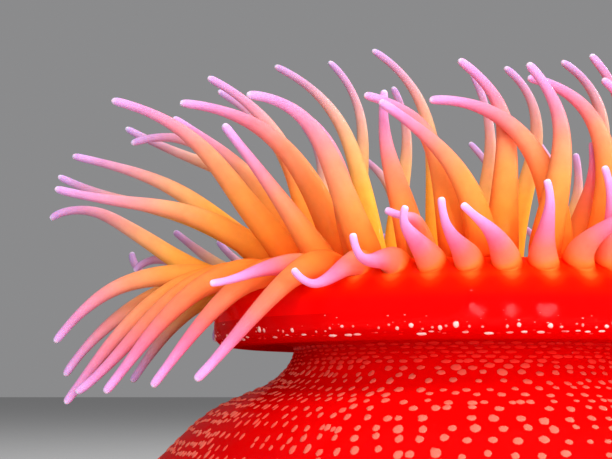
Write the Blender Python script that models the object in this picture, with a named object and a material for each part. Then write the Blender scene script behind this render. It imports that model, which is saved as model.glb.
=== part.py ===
"""White-spotted rose anemone, a life-size still model.

A squat, bell-shaped column on a wide pedal disc narrows to a waist under a thick rolled collar.
Five cycles of tentacles, 6 + 6 + 12 + 24 + 48, stand round a bare oral disc with a slit mouth.
The crown sways to -X. -Y is the front and +Z is up.
The origin is the centre of the pedal disc's flat underside.
"""
import math

import bmesh
import bpy
import numpy as np
from mathutils import Vector

MM = 0.001
GAP = 0.3 * MM                      # clearance between neighbouring pieces

# Driving dimensions of the body
PEDAL_RADIUS = 66.0 * MM            # widest part of the foot
PEDAL_FLAT = 62.5 * MM              # radius of the flat that rests on the floor
PEDAL_TOP = 3.0 * MM
COLUMN_SPLIT = 17.0 * MM            # height where the lower column meets the upper column
WAIST_RADIUS = 33.4 * MM
WAIST_HEIGHT = 33.4 * MM
COLUMN_OUTLINE = (                  # (radius, height) down the column: waist, shoulder, flank, rim
    (WAIST_RADIUS, WAIST_HEIGHT),
    (34.8 * MM, 30.4 * MM),
    (38.2 * MM, 27.0 * MM),
    (47.0 * MM, 23.0 * MM),
    (53.4 * MM, 17.4 * MM),
    (60.5 * MM, 10.5 * MM),
    (PEDAL_RADIUS, PEDAL_TOP),
)
COLLAR_RADIUS = 47.3 * MM
COLLAR_TOP = 41.6 * MM
MARGIN_OUTER = 46.2 * MM            # the ring that carries the outer tentacles: outer edge
MARGIN_INNER = 40.0 * MM            # and inner edge
MARGIN_BROW = 42.6 * MM             # height of its outer edge
MARGIN_CREST = 46.2 * MM            # height of its inner edge
DISC_RADIUS = 39.7 * MM
DISC_TOP = 45.2 * MM                # the flat that the inner tentacles stand on
DISC_BARE = 24.0 * MM               # radius of the bare middle, which sinks to the mouth
MOUTH_RADIUS = 11.0 * MM
MOUTH_HEIGHT = 42.9 * MM
LIP_LENGTH = 8.0 * MM               # half the length of the lips' ring, at its centre line
LIP_BREADTH = 4.0 * MM              # half its breadth
LIP_THICKNESS = 1.5 * MM

BODY_SIDES = 28
MARGIN_SECTORS = 6
LIP_STEPS = 20
LIP_SIDES = 5

# Tentacle cycles, from the innermost out: how many there are, the radius they stand on (mm), the
# azimuth of the first, their foot radius (mm), lean from upright at the foot, and length (mm)
CYCLES = {
    1: dict(count=6, ring=27.0, start=3.75, foot=2.9, lean=12, length=54),
    2: dict(count=6, ring=28.0, start=33.75, foot=2.9, lean=18, length=54),
    3: dict(count=12, ring=31.4, start=18.75, foot=2.85, lean=27, length=52),
    4: dict(count=24, ring=35.9, start=11.25, foot=2.75, lean=38, length=48),
    5: dict(count=48, ring=43.2, start=0.0, foot=2.5, lean=70, length=38),
}
OUTER = 5                           # the cycle that grows from the margin
INNER_SWAY = 0.08                   # how far a foot's direction is bent towards -X
OUTER_SWAY = 0.26
FRONT_LEAN = 38                     # the short ones at the front leave the margin more upright
FRONT = (0.62, 0.90)                # how near to straight forward a foot is: from here, and fully
FULLNESS = 1.06                     # a tentacle just above its foot, over its foot's radius
TIP_RADIUS = (0.66 * MM, 0.52 * MM) # a long tentacle and a short, contracted one
KNOB = 1.22                         # the blunt knob at the tip, over the radius before it
KNOB_PLACE = 0.955                  # share of the length
TAPER = (1.25, 1.9)                 # how fast a long and a short one grow thin
CONTRACTED = (20.0 * MM, 32.0 * MM) # lengths below and above which a tentacle is short or long
TUBE_SIDES = 6
INNER_SPANS = 6
OUTER_SPANS = 5
LAST_RING = 0.965                   # share of the length where the last ring is
PATH_STEPS = 24
PUSH_ROUNDS = 90                    # rounds of pushing crossing tentacles apart
SKIN_CLEARANCE = 0.4 * MM

# The pose of the tentacles that make the crown's outline from the front, by cycle and number:
# where the tip is (right, back and up from the origin, in mm) and which way it points, in degrees
# from +X towards +Z. Where a bend is sharper or softer than usual, the lengths of the curve's two
# handles follow, as shares of the distance from foot to tip. The others follow free_pose().
POSE = {
    5: {
        18: (-51, 40, 36, 290), 21: (-67, 22, 50, 238), 22: (-66, 14, 27, 235),
        23: (-82, 8, 59, 222), 24: (-76, -3, 28, 239), 25: (-77, -8, 34, 232, 0.6, 0.3),
        26: (-74, -12, 23, 233), 27: (-71, -18, 25, 212), 28: (-65, -24, 25, 229),
        29: (-56, -32, 26, 232, 0.32, 0.3), 30: (-46, -42, 42, 182, 0.4, 0.3),
        31: (-48, -43, 27, 222, 0.3, 0.3), 32: (-33, -46, 44, 118, 0.4, 0.55),
        33: (-24, -49, 49, 95, 0.4, 0.6), 34: (-16, -50, 53, 62, 0.5, 0.3),
        35: (-11, -52, 54, 92, 0.4, 0.45), 36: (-8, -52, 53, 132, 0.5, 0.3), 37: (5, -50, 57, 112),
        38: (22, -49, 57, 60, 0.4, 0.45), 39: (15, -45, 60, 110),
    },
    4: {
        5: (-3, 40, 88, 95), 7: (-26, 38, 100, 138), 8: (-32, 36, 85, 130),
        10: (-82, 14, 69, 153), 11: (-78, 8, 72, 167), 12: (-77, -12, 62, 164),
        13: (-66, -18, 77, 166), 14: (-45, -30, 70, 128, 0.3, 0.5), 15: (-41, -34, 74, 176),
        16: (-19, -46, 53, 154, 0.8, 0.4), 17: (-19, -34, 73, 145), 18: (6, -32, 80, 132),
        19: (7, -26, 79, 170),
    },
    3: {
        1: (28, 30, 77, 100), 2: (5, 26, 94, 118), 3: (-12, 30, 92, 118),
        4: (-50, 22, 89, 150), 5: (-66, 6, 74, 200), 6: (-57, 0, 78, 147),
        7: (-35, -28, 74, 153), 8: (-21, -22, 77, 166), 9: (-10, -26, 75, 184),
    },
    2: {
        0: (20, 6, 91, 148), 1: (-17, 22, 98, 148), 2: (-69, 18, 80, 150),
        3: (-54, -16, 77, 174), 4: (-4, -20, 84, 143), 5: (22, -18, 81, 140),
    },
    1: {
        0: (23, -6, 89, 130), 1: (10, 14, 92, 142), 2: (-38, 24, 95, 154),
        3: (-50, -4, 85, 152), 4: (-17, -18, 79, 86), 5: (17, -30, 67, 95),
    },
}


def new_material(name, hex_colour, roughness):
    """A Principled material from an sRGB hex colour."""
    channels = [int(hex_colour[i:i + 2], 16) / 255 for i in (1, 3, 5)]
    linear = [c / 12.92 if c <= 0.04045 else ((c + 0.055) / 1.055) ** 2.4 for c in channels]
    material = bpy.data.materials.new(name)
    material.use_nodes = True
    shader = material.node_tree.nodes["Principled BSDF"]
    shader.inputs["Base Color"].default_value = (*linear, 1)
    shader.inputs["Roughness"].default_value = roughness
    shader.inputs["Metallic"].default_value = 0.0
    material.diffuse_color = (*linear, 1)
    return material


def new_object(name, bm, material):
    """Turns a bmesh into a smooth-shaded object with outward faces."""
    bmesh.ops.recalc_face_normals(bm, faces=bm.faces)
    mesh = bpy.data.meshes.new(name)
    bm.to_mesh(mesh)
    bm.free()
    mesh.materials.append(material)
    mesh.shade_smooth()
    mesh.set_sharp_from_angle(angle=math.radians(50))
    obj = bpy.data.objects.new(name, mesh)
    bpy.context.collection.objects.link(obj)
    return obj


def polar(radius, azimuth, height):
    """A point from its radius, azimuth in radians and height."""
    return Vector((radius * math.cos(azimuth), radius * math.sin(azimuth), height))


def turned(name, profile, material):
    """A solid of revolution from (radius, height) points, bottom first, closed at both ends."""
    bm = bmesh.new()
    turns = [2 * math.pi * i / BODY_SIDES for i in range(BODY_SIDES)]
    rings = [[bm.verts.new(polar(radius, a, height)) for a in turns] for radius, height in profile]
    for low, high in zip(rings, rings[1:]):
        for i in range(BODY_SIDES):
            j = (i + 1) % BODY_SIDES
            bm.faces.new((low[i], low[j], high[j], high[i]))
    bm.faces.new(list(reversed(rings[0])))
    bm.faces.new(rings[-1])
    return new_object(name, bm, material)


def column_radius(height):
    """Outer radius of the column, read from a smooth curve through COLUMN_OUTLINE."""
    heights = [h for _, h in COLUMN_OUTLINE]
    radii = [r for r, _ in COLUMN_OUTLINE]
    i = max(k for k in range(len(heights) - 1) if k == 0 or heights[k] >= height)
    step = heights[i + 1] - heights[i]
    t = (height - heights[i]) / step
    before, after = max(i - 1, 0), min(i + 2, len(heights) - 1)
    slope_here = (radii[i + 1] - radii[before]) / (heights[i + 1] - heights[before]) * step
    slope_next = (radii[after] - radii[i]) / (heights[after] - heights[i]) * step
    blend = t * t * (3 - 2 * t)
    curve = t * (1 - t) * ((1 - t) * slope_here - t * slope_next)
    return radii[i] * (1 - blend) + radii[i + 1] * blend + curve


def column_piece(name, bottom, top, rings, material):
    """A length of the column between two heights."""
    heights = [bottom + (top - bottom) * i / (rings - 1) for i in range(rings)]
    return turned(name, [(column_radius(h), h) for h in heights], material)


def foot_of(cycle, number):
    """Where a tentacle stands, which way its foot's plane faces, and which way it leaves."""
    size = CYCLES[cycle]
    azimuth = math.radians(size["start"] + number * 360 / size["count"])
    out = polar(1, azimuth, 0)
    lean = math.radians(size["lean"])
    if cycle == OUTER:
        front = min(max((-out.y - FRONT[0]) / (FRONT[1] - FRONT[0]), 0), 1)
        lean += front * (math.radians(FRONT_LEAN) - lean)
        slope = math.atan2(MARGIN_CREST - MARGIN_BROW, MARGIN_OUTER - MARGIN_INNER)
        height = (MARGIN_CREST + MARGIN_BROW) / 2
        sway = OUTER_SWAY
    else:
        slope = 0
        height = DISC_TOP + GAP
        sway = INNER_SWAY
    facing = out * math.sin(slope) + Vector((0, 0, math.cos(slope)))
    leaving = out * math.sin(lean) + Vector((-sway, 0, math.cos(lean)))
    return out * size["ring"] * MM + Vector((0, 0, height)), facing, leaving.normalized()


def free_pose(cycle, number):
    """Tip place and pointing direction of a tentacle that POSE leaves out."""
    size = CYCLES[cycle]
    foot, _, leaving = foot_of(cycle, number)
    azimuth = math.atan2(foot.y, foot.x)
    wave = math.sin(7 * azimuth + 2.3 * cycle + 1.9 * number)
    ripple = math.sin(3 * azimuth + 4.1 * number)
    lift = Vector((-0.2, 0.08 * ripple, 0.34 + 0.14 * wave - 0.02 * cycle))
    tip = foot + (leaving + lift).normalized() * size["length"] * (0.9 + 0.07 * ripple) * MM
    heading = math.radians(118 + 28 * wave)
    pointing = Vector((math.cos(heading), 0.4 * math.sin(azimuth), math.sin(heading)))
    return tip, pointing.normalized()


def centre_line(cycle, number):
    """A Bezier curve from foot to tip, as PATH_STEPS + 1 points."""
    foot, _, leaving = foot_of(cycle, number)
    near, far = (0.42, 0.3) if cycle == OUTER else (0.5, 0.4)
    if number in POSE[cycle]:
        right, back, up, heading, *handles = POSE[cycle][number]
        tip = Vector((right, back, up)) * MM
        pointing = Vector((math.cos(math.radians(heading)), 0, math.sin(math.radians(heading))))
        near, far = handles or (near, far)
    else:
        tip, pointing = free_pose(cycle, number)
    chord = (tip - foot).length
    handles = (foot, foot + leaving * chord * near, tip - pointing * chord * far, tip)
    points = []
    for i in range(PATH_STEPS + 1):
        t = i / PATH_STEPS
        weights = ((1 - t) ** 3, 3 * t * (1 - t) ** 2, 3 * t * t * (1 - t), t ** 3)
        points.append(sum((h * w for h, w in zip(handles, weights)), Vector()))
    return points


def tube_radius(cycle, share, length):
    """Radius of a tentacle at a share of its length: full near the foot, thin further out, a knob."""
    full = CYCLES[cycle]["foot"] * MM * FULLNESS
    short, long = CONTRACTED
    contracted = min(max((long - length) / (long - short), 0), 1)
    tip, slimming = (a + (b - a) * contracted for a, b in (TIP_RADIUS, TAPER))
    knob = tip * (KNOB - 1) * math.exp(-((share - KNOB_PLACE) / 0.04) ** 2)
    foot_tuck = (1 - 1 / FULLNESS) * math.exp(-share / 0.04)
    return (tip + (full - tip) * (1 - share) ** slimming) * (1 - foot_tuck) + knob


def length_of(line):
    """Length of a centre line."""
    return sum((b - a).length for a, b in zip(line, line[1:]))


def spread(lines):
    """Pushes crossing tentacles apart, lifts the inner ones over the margin, keeps curves smooth."""
    keys = list(lines)
    share = np.linspace(0, 1, PATH_STEPS + 1)
    points = np.array([[tuple(p) for p in lines[key]] for key in keys])
    radii = np.array([[tube_radius(key[0], s, length_of(lines[key])) for s in share] for key in keys])
    radii = radii.ravel()
    owner = np.repeat(np.arange(len(keys)), PATH_STEPS + 1)
    need = radii[:, None] + radii[None, :] + SKIN_CLEARANCE
    need[owner[:, None] == owner[None, :]] = 0
    freedom = np.clip((share - 0.06) / 0.3, 0, 1)[None, :, None]
    inner = np.array([key[0] != OUTER for key in keys])[:, None]
    clear = radii.reshape(len(keys), -1) + SKIN_CLEARANCE
    for _ in range(PUSH_ROUNDS):
        flat = points.reshape(-1, 3)
        square = (flat ** 2).sum(1)
        one, other = np.nonzero(square[:, None] + square[None, :] - 2 * flat @ flat.T < need ** 2)
        apart = flat[one] - flat[other]
        distance = np.sqrt((apart ** 2).sum(1))[:, None] + 1e-9
        push = np.zeros_like(flat)
        np.add.at(push, one, apart / distance * (need[one, other][:, None] - distance))
        push /= np.maximum(np.bincount(one, minlength=len(flat)), 1)[:, None]
        push = push.reshape(points.shape)
        reach = np.hypot(points[..., 0], points[..., 1])
        beside = reach - np.clip(reach, MARGIN_INNER, MARGIN_OUTER)
        above = np.maximum(points[..., 2] - MARGIN_CREST, 0.1 * MM)
        away = np.hypot(beside, above)
        lift = np.where(inner, np.clip(clear - away, 0, None) / away, 0)
        push[..., :2] += (lift * beside / reach)[..., None] * points[..., :2]
        push[..., 2] += lift * above
        for _ in range(3):
            push[:, 1:-1] = (push[:, :-2] + 2 * push[:, 1:-1] + push[:, 2:]) / 4
        points = points + 0.9 * push * freedom
    return {key: [Vector(p) for p in line] for key, line in zip(keys, points)}


def along(line, share):
    """Point and direction at a share of a centre line."""
    place = share * PATH_STEPS
    i = min(int(place), PATH_STEPS - 1)
    before, after = line[max(i - 1, 0)], line[min(i + 2, PATH_STEPS)]
    return line[i].lerp(line[i + 1], place - i), (after - before).normalized()


def ring_at(bm, centre, axis, side, radius):
    """A ring of vertices, the first towards side, turning anticlockwise about the axis."""
    across = axis.cross(side)
    turns = [2 * math.pi * i / TUBE_SIDES for i in range(TUBE_SIDES)]
    return [bm.verts.new(centre + (side * math.cos(a) + across * math.sin(a)) * radius) for a in turns]


def add_tentacle(bm, cycle, number, line, spans):
    """Adds a tentacle's tube, closed at the tip, and returns its open ring at the foot."""
    foot, facing, _ = foot_of(cycle, number)
    out = polar(1, math.atan2(foot.y, foot.x), 0)
    side = (out - facing * out.dot(facing)).normalized()
    length = length_of(line)
    rings = [ring_at(bm, foot, facing, side, tube_radius(cycle, 0, length))]
    for i in range(1, spans + 1):
        share = 0.085 + (LAST_RING - 0.085) * (i - 1) / (spans - 1)
        point, direction = along(line, share)
        side = (side - direction * side.dot(direction)).normalized()
        rings.append(ring_at(bm, point, direction, side, tube_radius(cycle, share, length)))
    for low, high in zip(rings, rings[1:]):
        for i in range(TUBE_SIDES):
            j = (i + 1) % TUBE_SIDES
            bm.faces.new((low[i], low[j], high[j], high[i]))
    tip = bm.verts.new(line[-1])
    for i in range(TUBE_SIDES):
        bm.faces.new((rings[-1][i], rings[-1][(i + 1) % TUBE_SIDES], tip))
    return rings[0]


def build_inner_tentacle(cycle, number, line, material):
    """A tentacle of the inner cycles, a solid that stands on the oral disc."""
    bm = bmesh.new()
    foot = add_tentacle(bm, cycle, number, line, INNER_SPANS)
    bm.faces.new(list(reversed(foot)))
    return new_object(f"tentacle_{cycle}_{number + 1:02d}", bm, material)


def build_margin_sector(sector, lines, material):
    """A sixth of the crown's margin, with the outer tentacles that grow from its sloping face."""
    bm = bmesh.new()
    count = CYCLES[OUTER]["count"] // MARGIN_SECTORS
    pitch = 2 * math.pi / CYCLES[OUTER]["count"]
    trim = GAP / 2 / MARGIN_INNER
    half_steps = 2 * count
    rails = {"brow": [], "crest": [], "low_out": [], "low_in": []}
    for i in range(half_steps + 1):
        azimuth = (sector * count - 0.5 + i / 2) * pitch
        azimuth += trim if i == 0 else -trim if i == half_steps else 0
        rails["brow"].append(bm.verts.new(polar(MARGIN_OUTER, azimuth, MARGIN_BROW)))
        rails["crest"].append(bm.verts.new(polar(MARGIN_INNER, azimuth, MARGIN_CREST)))
        rails["low_out"].append(bm.verts.new(polar(MARGIN_OUTER, azimuth, COLLAR_TOP + GAP)))
        rails["low_in"].append(bm.verts.new(polar(MARGIN_INNER, azimuth, COLLAR_TOP + GAP)))
    brow, crest, low_out, low_in = rails.values()
    for i in range(half_steps):
        bm.faces.new((low_out[i], low_out[i + 1], brow[i + 1], brow[i]))
        bm.faces.new((crest[i], crest[i + 1], low_in[i + 1], low_in[i]))
        bm.faces.new((low_in[i], low_in[i + 1], low_out[i + 1], low_out[i]))
    for i in (0, half_steps):
        bm.faces.new((brow[i], crest[i], low_in[i], low_out[i]))
    for k in range(count):
        number = sector * count + k
        foot = add_tentacle(bm, OUTER, number, lines[OUTER, number], OUTER_SPANS)
        i = 2 * k
        cell = (brow[i + 1], brow[i + 2], crest[i + 2], crest[i + 1], crest[i], brow[i])
        for a in range(TUBE_SIDES):
            b = (a + 1) % TUBE_SIDES
            bm.faces.new((cell[a], cell[b], foot[b], foot[a]))
    return new_object(f"margin_{sector + 1}", bm, material)


def build_pedal_disc(material):
    """The foot: a flat sole with a thin rounded rim."""
    profile = [(PEDAL_FLAT, 0), (PEDAL_RADIUS - 1.1 * MM, 0.7 * MM), (PEDAL_RADIUS, 1.7 * MM),
               (PEDAL_RADIUS, PEDAL_TOP - GAP)]
    return turned("pedal_disc", profile, material)


def build_collar(material):
    """The parapet, a thick roll that overhangs the waist."""
    low = WAIST_HEIGHT + GAP
    profile = [(WAIST_RADIUS, low), (COLLAR_RADIUS - 5.6 * MM, low), (COLLAR_RADIUS - 1.7 * MM, low + 1.5 * MM),
               (COLLAR_RADIUS, low + 4.0 * MM), (COLLAR_RADIUS - 0.1 * MM, low + 6.2 * MM),
               (MARGIN_OUTER, COLLAR_TOP)]
    return turned("collar", profile, material)


def build_oral_disc(material):
    """The disc inside the crown: level where tentacles stand, sinking to the mouth."""
    profile = [(DISC_RADIUS, COLLAR_TOP + GAP), (DISC_RADIUS, DISC_TOP), (DISC_BARE, DISC_TOP),
               (MOUTH_RADIUS + 6 * MM, MOUTH_HEIGHT + 0.7 * MM), (MOUTH_RADIUS, MOUTH_HEIGHT)]
    return turned("oral_disc", profile, material)


def build_lips(material):
    """The swollen ring round the slit mouth, longer from side to side."""
    bm = bmesh.new()
    rings = []
    for i in range(LIP_STEPS):
        a = 2 * math.pi * i / LIP_STEPS
        centre = Vector((LIP_LENGTH * math.cos(a), LIP_BREADTH * math.sin(a), MOUTH_HEIGHT + GAP))
        out = Vector((math.cos(a) / LIP_LENGTH, math.sin(a) / LIP_BREADTH, 0)).normalized()
        ring = []
        for k in range(LIP_SIDES):
            turn = math.pi * k / (LIP_SIDES - 1)
            lift = Vector((0, 0, LIP_THICKNESS * 1.3 * math.sin(turn)))
            ring.append(bm.verts.new(centre + out * LIP_THICKNESS * math.cos(turn) + lift))
        rings.append(ring)
    for i, ring in enumerate(rings):
        following = rings[(i + 1) % LIP_STEPS]
        for k in range(LIP_SIDES):
            j = (k + 1) % LIP_SIDES
            bm.faces.new((ring[k], following[k], following[j], ring[j]))
    return new_object("lips", bm, material)


def build():
    for obj in list(bpy.data.objects):
        bpy.data.objects.remove(obj, do_unlink=True)
    scarlet = new_material("column_skin", "#E01008", 0.35)
    flesh = new_material("tentacle_flesh", "#FF7A50", 0.4)
    coral = new_material("disc_skin", "#F0502C", 0.4)

    build_pedal_disc(scarlet)
    column_piece("column_lower", PEDAL_TOP, COLUMN_SPLIT - GAP, 4, scarlet)
    column_piece("column_upper", COLUMN_SPLIT, WAIST_HEIGHT, 7, scarlet)
    build_collar(scarlet)
    build_oral_disc(coral)
    build_lips(coral)

    lines = {(c, n): centre_line(c, n) for c in CYCLES for n in range(CYCLES[c]["count"])}
    lines = spread(lines)
    for (cycle, number), line in lines.items():
        if cycle != OUTER:
            build_inner_tentacle(cycle, number, line, flesh)
    for sector in range(MARGIN_SECTORS):
        build_margin_sector(sector, lines, flesh)


if __name__ == "__main__":
    build()
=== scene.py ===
# %% [markdown]
# # A white-spotted rose anemone, life size
#
# The animal is one bag of soft, wet flesh. A wide sole grips the rock, a bell-shaped column rises to
# a waist, a thick collar rolls over it, and ninety-six tentacles stand round a disc with a slit mouth.
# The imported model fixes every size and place. This script dresses it: one skin without a seam over
# all the flesh, and the small warts that dot the column as meshes of their own.

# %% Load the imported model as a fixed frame
import math

import bmesh
import bpy
import numpy as np
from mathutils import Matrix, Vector
from mathutils.bvhtree import BVHTree


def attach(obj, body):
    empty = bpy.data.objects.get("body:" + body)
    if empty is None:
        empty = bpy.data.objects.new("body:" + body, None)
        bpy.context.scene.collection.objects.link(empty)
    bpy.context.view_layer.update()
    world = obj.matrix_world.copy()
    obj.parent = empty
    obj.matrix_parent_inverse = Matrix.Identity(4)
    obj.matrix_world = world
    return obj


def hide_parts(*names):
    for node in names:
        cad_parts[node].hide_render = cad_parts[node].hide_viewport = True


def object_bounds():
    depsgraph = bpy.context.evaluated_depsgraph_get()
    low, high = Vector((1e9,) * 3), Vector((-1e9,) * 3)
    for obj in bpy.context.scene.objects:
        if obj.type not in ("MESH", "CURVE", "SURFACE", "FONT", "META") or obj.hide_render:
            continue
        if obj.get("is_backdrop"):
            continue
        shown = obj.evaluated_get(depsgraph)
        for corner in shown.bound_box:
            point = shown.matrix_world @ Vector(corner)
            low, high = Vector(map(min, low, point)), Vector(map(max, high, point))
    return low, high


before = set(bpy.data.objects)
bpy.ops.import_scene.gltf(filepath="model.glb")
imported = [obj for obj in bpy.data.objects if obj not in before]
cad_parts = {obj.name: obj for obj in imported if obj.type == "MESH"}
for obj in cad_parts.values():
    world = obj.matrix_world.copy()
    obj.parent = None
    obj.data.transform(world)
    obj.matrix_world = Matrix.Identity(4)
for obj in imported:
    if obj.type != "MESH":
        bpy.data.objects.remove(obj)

MM = 0.001
cad_box = [[float(c) for c in corner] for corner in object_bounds()]
size_mm = [round((high - low) / MM, 1) for low, high in zip(*cad_box)]
print("frame:", len(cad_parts), "nodes,", size_mm, "mm")

# %% [markdown]
# The frame holds each tentacle as a coarse six-sided tube. Its rings of corners can be peeled off
# from the tip towards the foot: the tip's neighbours are the last ring, their neighbours the next,
# and so on. The middle of each ring lies on the tentacle's centre line, and its corners give the
# thickness there. Reading them keeps the skin on the solids without a second list of places.

# %% Peel the rings off behind a tip
TUBE_SIDES = 6


def rings_behind(tip):
    """Rings of corners behind a tip, nearest first, while each has as many as the tube has sides."""
    rings, seen = [[tip]], {tip}
    while True:
        ring = {edge.other_vert(v) for v in rings[-1] for edge in v.link_edges} - seen
        if len(ring) != TUBE_SIDES:
            return rings
        seen |= ring
        rings.append(ring)


print("a ring has", TUBE_SIDES, "corners")

# %% Read the tentacles' centre lines from the frame
RINGS = {"tentacle": 8, "margin": 7}    # tip, rings and foot of a tentacle in each kind of node
SAME_PLACE = 1e-6                   # metres within which two corners are one


def centre_lines(node, count):
    """Ring centres and radii, foot first, of every tentacle in a node."""
    bm = bmesh.new()
    bm.from_mesh(node.data)
    bmesh.ops.remove_doubles(bm, verts=bm.verts, dist=SAME_PLACE)
    bm.verts.index_update()
    found = []
    for vertex in bm.verts:
        rings = rings_behind(vertex)
        if len(rings) < count:
            continue
        rings = [[v.co.copy() for v in sorted(ring, key=lambda v: v.index)] for ring in rings[:count]][::-1]
        middles = [sum(ring, Vector()) / len(ring) for ring in rings]
        radii = [sum((v - m).length for v in ring) / len(ring) for ring, m in zip(rings, middles)]
        found.append({"middles": middles, "radii": radii})
    bm.free()
    return found


tentacles = []
for name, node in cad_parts.items():
    if name.split("_")[0] in RINGS:
        tentacles += centre_lines(node, RINGS[name.split("_")[0]])
lengths = [sum((b - a).length for a, b in zip(t["middles"], t["middles"][1:])) for t in tentacles]
print("tentacles:", len(tentacles), "of", round(min(lengths) / MM), "to", round(max(lengths) / MM), "mm")

# %% [markdown]
# A skin that will be smoothed needs only a light cage. The body's cage is drawn as a potter would
# throw it: a filled circle for the sole, extruded ring by ring up the column, over the collar and in
# to the mouth, each ring raised and scaled to its size. Forty-eight columns put one column face
# under each of the forty-eight outer tentacles.

# %% Throw the body's cage, ring by ring
COLUMNS = 48
COLUMN_TURN = math.radians(360 / COLUMNS)
BODY_RINGS = (                      # radius and height in mm: sole, flank, waist, collar, margin
    (61.0, 0.0), (64.6, 0.0), (66.6, 1.0), (66.5, 3.0), (63.8, 7.0), (60.2, 11.2), (56.4, 15.0),
    (52.4, 19.2), (46.9, 23.3), (40.4, 25.4), (35.6, 28.2), (33.6, 31.4), (32.9, 33.8),
    (36.0, 34.2), (43.8, 33.1), (47.9, 33.8), (48.5, 36.0), (48.4, 38.5), (48.1, 41.0), (47.2, 43.2),
)
CREST_RINGS = ((40.2, 46.7), (38.4, 45.5))      # inner edge of the margin and step to the disc
DISC_RINGS = (                      # radius and height in mm: rows of inner tentacles, bare middle
    (33.65, 45.4), (29.0, 45.5), (24.6, 45.3), (20.0, 44.4), (15.0, 43.3), (12.4, 43.2),
)
LIP_RINGS = (                       # half length, half breadth and height in mm: lips and throat
    (10.6, 6.4, 44.4), (8.6, 4.4, 45.2), (6.6, 2.4, 44.6), (5.2, 1.0, 42.6), (4.4, 0.7, 40.6),
)

bpy.ops.object.select_all(action="DESELECT")
bpy.ops.mesh.primitive_circle_add(
    vertices=COLUMNS, radius=BODY_RINGS[0][0] * MM, fill_type="NGON", rotation=(0, 0, COLUMN_TURN / 2))
skin = bpy.context.object
skin.name = skin.data.name = "anemone_skin"
bpy.ops.object.transform_apply(rotation=True)
bpy.ops.object.mode_set(mode="EDIT")
bpy.ops.mesh.select_all(action="SELECT")
cage_rings = [(r, r, h) for r, h in BODY_RINGS + CREST_RINGS + DISC_RINGS] + list(LIP_RINGS)
for (long, broad, height), (next_long, next_broad, next_height) in zip(cage_rings, cage_rings[1:]):
    bpy.ops.mesh.extrude_region_move(
        TRANSFORM_OT_translate={"value": (0, 0, (next_height - height) * MM)})
    bpy.ops.transform.resize(value=(next_long / long, next_broad / broad, 1))
bpy.ops.mesh.select_all(action="SELECT")
bpy.ops.mesh.normals_make_consistent(inside=False)
print("cage:", len(cage_rings), "rings,", len(bmesh.from_edit_mesh(skin.data).faces), "faces")

# %% [markdown]
# On the disc the tentacles stand in rings between the outer ones, so the disc's columns are turned by
# half a column, and a column is widened where an inner tentacle needs more room than the ring gives.
# The azimuth is the angle round the upright axis, counted from the right.

# %% Turn and widen the disc's columns
INNER_HALF = 2.2 * MM               # half the room that an inner tentacle's foot takes
ROW_REACH = 3.6 * MM                # a ring this near to a foot's middle borders it
BESIDE = 0.01                       # radians by which a corner may miss half a column from a foot
DISC_EDGE = (CREST_RINGS[1][0] + 0.5) * MM      # radius that parts the inner tentacles from the outer

bm = bmesh.from_edit_mesh(skin.data)
feet_azimuths = [(math.hypot(*t["middles"][0].xy), math.atan2(t["middles"][0].y, t["middles"][0].x))
                 for t in tentacles]
for vertex in bm.verts:
    radius, azimuth = math.hypot(*vertex.co.xy), math.atan2(vertex.co.y, vertex.co.x)
    if vertex.co.z < BODY_RINGS[-1][1] * MM or radius > DISC_EDGE:
        continue
    azimuth += COLUMN_TURN / 2
    for foot_radius, foot_azimuth in feet_azimuths:
        off = (azimuth - foot_azimuth + math.pi) % (2 * math.pi) - math.pi
        beside = abs(abs(off) - COLUMN_TURN / 2) < BESIDE
        if beside and abs(radius - foot_radius) < ROW_REACH and foot_radius < DISC_EDGE:
            wide = max(INNER_HALF / radius, COLUMN_TURN / 2)
            azimuth = foot_azimuth + math.copysign(wide, off)
            break
    vertex.co.x, vertex.co.y = radius * math.cos(azimuth), radius * math.sin(azimuth)
print("feet to set out:", len(feet_azimuths))

# %% [markdown]
# A face that carries a tentacle lies flat and close to the middle of its foot. Each is given its
# tentacle's number, which extruded faces keep, and is inset, which leaves a little skin round it.

# %% Inset the feet
FOOT_REACH = 3.0 * MM               # a face this near to a tentacle's foot carries it
UPWARD = 0.5                        # least upward slope of such a face
INSET = 0.3 * MM

owner = bm.faces.layers.int.new("tentacle_number")
bpy.ops.mesh.select_all(action="DESELECT")
for face in bm.faces:
    middle = face.calc_center_median()
    near = min(range(len(tentacles)), key=lambda i: (tentacles[i]["middles"][0] - middle).length)
    if (tentacles[near]["middles"][0] - middle).length < FOOT_REACH and face.normal.z > UPWARD:
        face.select = True
        face[owner] = near
bmesh.update_edit_mesh(skin.data)
bm = bmesh.from_edit_mesh(skin.data)
bpy.ops.mesh.inset(thickness=INSET, use_individual=True)
bm = bmesh.from_edit_mesh(skin.data)
print("feet:", sum(f.select for f in bm.faces))

# %% [markdown]
# Each foot is pulled out into a tentacle by extruding all ninety-six at once, ten times. After each
# pull a ring of four corners is set round the tentacle's centre line. Smoothing draws a square ring in
# to a circle of two thirds its size, and cuts every bend by a sixth of its depth, so the rings are
# set out that much larger and wider. A neck before the last two rings leaves the blunt, swollen tip.

# %% Draw a smooth line through a tentacle
FINE = 80                           # samples along a centre line


def line_through(middles, radii):
    """Evenly spaced (x, y, z, radius) along a smooth curve through the rings' centres and radii."""
    points = np.array([(*m, r) for m, r in zip(middles, radii)])
    gaps = np.linalg.norm(np.diff(points[:, :3], axis=0), axis=1)
    knots = np.concatenate(([0], np.cumsum(gaps)))
    slopes = np.gradient(points, knots, axis=0)
    fine = np.linspace(0, knots[-1], FINE + 1)
    i = np.clip(np.searchsorted(knots, fine, side="right") - 1, 0, len(gaps) - 1)
    t, gap = ((fine - knots[i]) / gaps[i])[:, None], gaps[i][:, None]
    return ((1 + 2 * t) * (1 - t) ** 2 * points[i] + t * (1 - t) ** 2 * gap * slopes[i]
            + t * t * (3 - 2 * t) * points[i + 1] + t * t * (t - 1) * gap * slopes[i + 1])


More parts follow.
